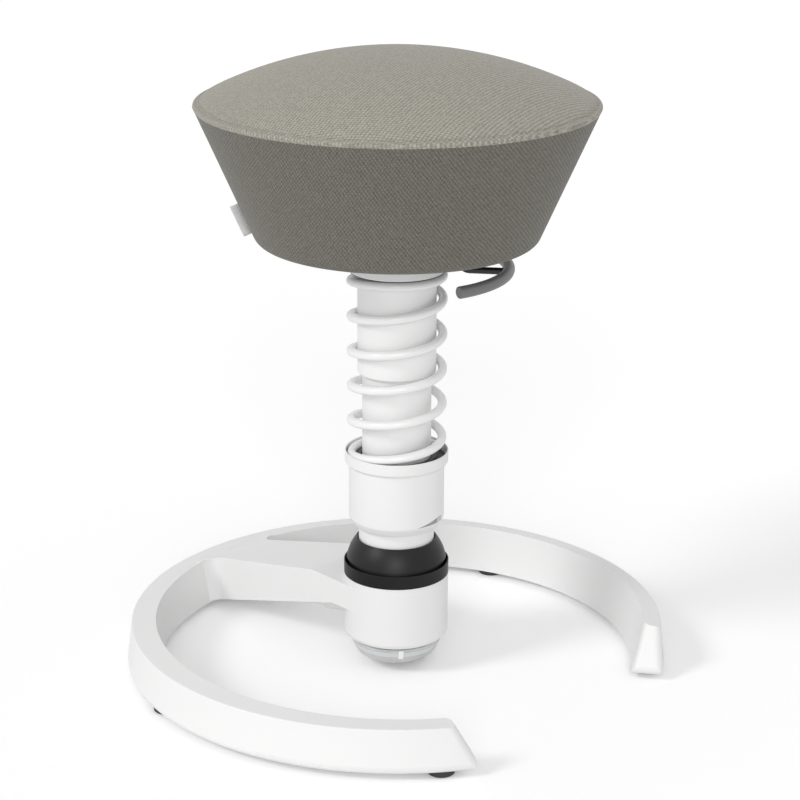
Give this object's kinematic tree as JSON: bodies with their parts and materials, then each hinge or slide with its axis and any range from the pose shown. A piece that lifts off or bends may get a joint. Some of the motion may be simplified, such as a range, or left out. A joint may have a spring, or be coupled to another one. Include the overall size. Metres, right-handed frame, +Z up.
{
  "type": "wobble stool",
  "caption": "Height-adjustable wobble stool with a round padded seat on a sprung, tilting column and an open C-shaped foot ring.",
  "frame": {"origin": "on the floor, on the column's axis", "axes": "+Z up; -Y through the middle of the ring's open side; the arm runs along +Y"},
  "size_m": [0.508, 0.4711, 0.5831],
  "materials": {
    "frame_paint": "satin white powder coat on a cast aluminium foot",
    "column_white": "satin white moulding",
    "tube_white": "satin white paint on tube",
    "spring_white": "glossy white coat on spring wire",
    "rubber_black": "satin black rubber",
    "bush_rubber": "matte dark rubber",
    "knob_clear": "milky translucent moulding",
    "mark_grey": "printed grey inlay",
    "mark_white": "raised white pointer",
    "plastic_dark": "fine matte dark moulding",
    "steel": "turned steel",
    "steel_black": "black coated steel",
    "lever_grey": "satin dark grey grip",
    "brass": "plain bushing bronze",
    "foam": "open cell foam",
    "cover_cloth": "taupe twill cloth",
    "lining": "thin dark board",
    "label_cloth": "plain pale woven tape"
  },
  "bodies": {
    "base": {"foot_frame": "frame_paint", "floor_glides": "plastic_dark", "glide_screws": "steel", "arm_screw": "steel", "rim_band": "rubber_black", "socket_cup": "plastic_dark", "hub_base_plate": "steel", "base_screws": "steel"},
    "adjuster": {"stiffness_knob": "knob_clear", "knob_scale": "mark_grey", "knob_mark": "mark_white", "adjust_spindle": "steel"},
    "press_plate": {"pressure_plate": "steel"},
    "swing": {"swing_bush": "bush_rubber"},
    "column": {"ball_stub": "steel", "neck_collar": "column_white", "tilt_boot": "rubber_black", "guide_tube": "tube_white", "guide_bush": "plastic_dark", "bump_stop": "bush_rubber", "coil_spring": "spring_white"},
    "spring_base": {"spring_seat": "plastic_dark"},
    "cup": {"adjusting_cup": "column_white", "cup_scale": "mark_grey"},
    "carrier": {"top_cap": "column_white", "spring_pad": "plastic_dark", "upper_tube": "column_white", "carrier_tube": "steel", "carrier_floor": "steel", "slide_ring": "plastic_dark", "cylinder_bush": "plastic_dark"},
    "rod": {"piston_rod": "steel", "rod_clip": "steel", "thrust_bearing": "steel"},
    "seat": {"gas_cylinder": "steel_black", "seat_plate": "steel_black", "plate_screws": "steel", "mechanism_housing": "plastic_dark", "pivot_pin": "steel", "seat_shell": "plastic_dark", "foam_pad": "foam", "seat_cover_top": "cover_cloth", "seat_cover_side": "cover_cloth", "rim_piping": "cover_cloth", "underside_cover": "lining", "under_screws": "steel", "side_label": "label_cloth"},
    "lever": {"lever_arm": "steel_black", "lever_grip": "lever_grey"},
    "pin": {"release_pin": "steel"}
  },
  "joints": [
    {"name": "tilt_side", "type": "hinge", "parent": "base", "child": "swing", "pos_m": [0, 0, 0.096], "axis": [1, 0, 0], "range_deg": [-10, 10], "stiffness_Nm_per_rad": 350},
    {"name": "tilt_forward", "type": "hinge", "parent": "swing", "child": "column", "pos_m": [0, 0, 0.096], "axis": [0, 1, 0], "range_deg": [-10, 10], "stiffness_Nm_per_rad": 350},
    {"name": "knob_turn", "type": "hinge", "parent": "base", "child": "adjuster", "pos_m": [0, 0, 0.02], "axis": [0, 0, 1], "range_deg": [0, 270]},
    {"name": "plate_lift", "type": "slide", "parent": "base", "child": "press_plate", "axis": [0, 0, 1], "range_m": [0, 0.002]},
    {"name": "cup_turn", "type": "hinge", "parent": "spring_base", "child": "cup", "pos_m": [0, 0, 0.18], "axis": [0, 0, 1], "range_deg": [-300, 0]},
    {"name": "cup_lift", "type": "slide", "parent": "column", "child": "spring_base", "axis": [0, 0, 1], "range_m": [-0.004, 0]},
    {"name": "bounce", "type": "slide", "parent": "column", "child": "carrier", "axis": [0, 0, 1], "range_m": [-0.05, 0], "stiffness_N_per_m": 12000, "springref_m": 0.02, "deforming": ["coil_spring"]},
    {"name": "seat_swivel", "type": "hinge", "parent": "carrier", "child": "rod", "pos_m": [0, 0, 0.205], "axis": [0, 0, 1], "continuous": true},
    {"name": "height_lift", "type": "slide", "parent": "rod", "child": "seat", "axis": [0, 0, 1], "range_m": [-0.13, 0]},
    {"name": "release_lever", "type": "hinge", "parent": "seat", "child": "lever", "pos_m": [0.02294, -0.03277, 0.5446], "axis": [-0.8192, -0.5736, 0], "range_deg": [0, 5], "stiffness_Nm_per_rad": 1, "springref_deg": -5.73},
    {"name": "release_pin", "type": "slide", "parent": "seat", "child": "pin", "axis": [0, 0, 1], "range_m": [-0.0038, 0]}
  ],
  "couplings": [
    {"joint": "plate_lift", "follows": "knob_turn", "m_per_rad": 0.000424},
    {"joint": "cup_lift", "follows": "cup_turn", "m_per_rad": 0.00076},
    {"joint": "release_pin", "follows": "release_lever", "m_per_rad": -0.043}
  ]
}
